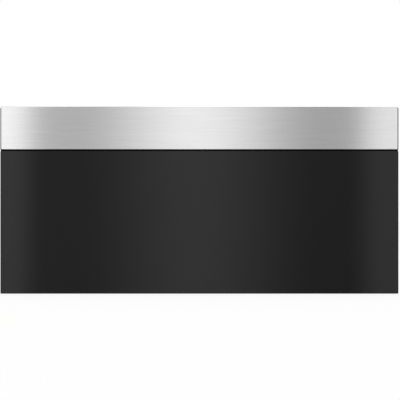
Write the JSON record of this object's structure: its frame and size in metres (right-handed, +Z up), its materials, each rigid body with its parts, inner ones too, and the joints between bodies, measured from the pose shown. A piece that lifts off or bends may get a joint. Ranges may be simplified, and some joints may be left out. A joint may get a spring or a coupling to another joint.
{
  "type": "built-in warming drawer",
  "caption": "Built-in warming drawer: a handle-free black glass front with a steel top strip, on a telescopic-runner pan in a heated steel housing.",
  "frame": {"origin": "on the shelf that the feet stand on, at the centre of the plan outline with the drawer closed", "axes": "+X to the right across the front as seen by its user, +Y from the front to the rear, +Z up"},
  "size_m": [0.759, 0.57, 0.3585],
  "materials": {
    "black_glass": "black-backed float glass, polished",
    "brushed_stainless": "stainless steel brushed along X",
    "satin_stainless": "satin stainless sheet",
    "coated_steel": "dark grey powder coat",
    "galvanised_steel": "galvanised sheet",
    "zinc_steel": "bright zinc plate",
    "rubber": "matt rubber",
    "silicone": "matt silicone",
    "foam_tape": "closed-cell foam tape",
    "mineral_wool": "mineral wool felt",
    "black_plastic": "fine-textured moulding",
    "nylon": "natural nylon",
    "copper_coil": "enamelled winding",
    "lamination": "oxidised sheet stack",
    "aluminium": "bare sheet or die casting",
    "circuit_board": "green solder mask",
    "ceramic": "pale ceramic",
    "heater_sheath": "heat-tinted sheath",
    "magnet": "nickel plate",
    "components": "moulded parts"
  },
  "bodies": {
    "housing": {"runner_outer_left": "zinc_steel", "runner_outer_right": "zinc_steel", "runner_bracket_left": "galvanised_steel", "runner_bracket_right": "galvanised_steel", "housing_base": "galvanised_steel", "housing_top": "galvanised_steel", "housing_side_left": "galvanised_steel", "housing_side_right": "galvanised_steel", "housing_rear": "galvanised_steel", "front_collar": "satin_stainless", "glide_feet": "rubber", "housing_screws": "zinc_steel", "air_baffle": "satin_stainless", "fan_partition": "galvanised_steel", "motor_stator": "lamination", "motor_coil": "copper_coil", "bearing_front": "aluminium", "bearing_rear": "aluminium", "motor_studs": "zinc_steel", "heater_element": "heater_sheath", "thermal_cutout": "ceramic", "temperature_probe": "satin_stainless", "power_board": "circuit_board", "board_components": "components", "board_standoffs": "nylon", "terminal_block": "ceramic", "cable_gland": "black_plastic", "latch_body": "black_plastic", "latch_spring": "zinc_steel"},
    "drawer": {"front_glass": "black_glass", "steel_strip": "brushed_stainless", "strip_backer": "black_plastic", "bonding_tape": "foam_tape", "front_carrier": "coated_steel", "front_stiffeners": "galvanised_steel", "front_insulation": "mineral_wool", "inner_panel": "satin_stainless", "front_gasket": "silicone", "control_console": "satin_stainless", "touch_strip": "black_glass", "control_tray": "black_plastic", "control_board": "circuit_board", "drawer_pan": "satin_stainless", "non_slip_mat": "silicone", "drawer_screws": "zinc_steel", "latch_striker": "zinc_steel", "runner_inner_left": "zinc_steel", "runner_inner_right": "zinc_steel"},
    "middle_left": {"runner_middle_left": "zinc_steel"},
    "cage_outer_body_left": {"cage_outer_left": "nylon"},
    "cage_inner_body_left": {"cage_inner_left": "nylon"},
    "middle_right": {"runner_middle_right": "zinc_steel"},
    "cage_outer_body_right": {"cage_outer_right": "nylon"},
    "cage_inner_body_right": {"cage_inner_right": "nylon"},
    "fan": {"fan_wheel": "aluminium", "fan_nut": "zinc_steel", "fan_shaft": "zinc_steel", "motor_rotor": "lamination"},
    "plunger": {"latch_plunger": "nylon", "latch_magnet": "magnet"}
  },
  "joints": [
    {"name": "drawer_slide", "type": "slide", "parent": "housing", "child": "drawer", "axis": [0, -1, 0], "range_m": [0, 0.41]},
    {"name": "middle_left_slide", "type": "slide", "parent": "housing", "child": "middle_left", "axis": [0, -1, 0], "range_m": [0, 0.205]},
    {"name": "cage_outer_left_slide", "type": "slide", "parent": "housing", "child": "cage_outer_body_left", "axis": [0, -1, 0], "range_m": [0, 0.1025]},
    {"name": "cage_inner_left_slide", "type": "slide", "parent": "middle_left", "child": "cage_inner_body_left", "axis": [0, -1, 0], "range_m": [0, 0.1025]},
    {"name": "middle_right_slide", "type": "slide", "parent": "housing", "child": "middle_right", "axis": [0, -1, 0], "range_m": [0, 0.205]},
    {"name": "cage_outer_right_slide", "type": "slide", "parent": "housing", "child": "cage_outer_body_right", "axis": [0, -1, 0], "range_m": [0, 0.1025]},
    {"name": "cage_inner_right_slide", "type": "slide", "parent": "middle_right", "child": "cage_inner_body_right", "axis": [0, -1, 0], "range_m": [0, 0.1025]},
    {"name": "fan_spin", "type": "hinge", "parent": "housing", "child": "fan", "pos_m": [0, 0.217, 0.175], "axis": [0, 1, 0], "continuous": true},
    {"name": "latch_plunger_slide", "type": "slide", "parent": "housing", "child": "plunger", "axis": [0, -1, 0], "range_m": [-0.004, 0], "stiffness_N_per_m": 200, "springref_m": 0.006, "deforming": ["latch_spring"]}
  ],
  "couplings": [
    {"joint": "middle_left_slide", "follows": "drawer_slide", "ratio": 0.5},
    {"joint": "cage_outer_left_slide", "follows": "drawer_slide", "ratio": 0.25},
    {"joint": "cage_inner_left_slide", "follows": "drawer_slide", "ratio": 0.25},
    {"joint": "middle_right_slide", "follows": "drawer_slide", "ratio": 0.5},
    {"joint": "cage_outer_right_slide", "follows": "drawer_slide", "ratio": 0.25},
    {"joint": "cage_inner_right_slide", "follows": "drawer_slide", "ratio": 0.25}
  ]
}
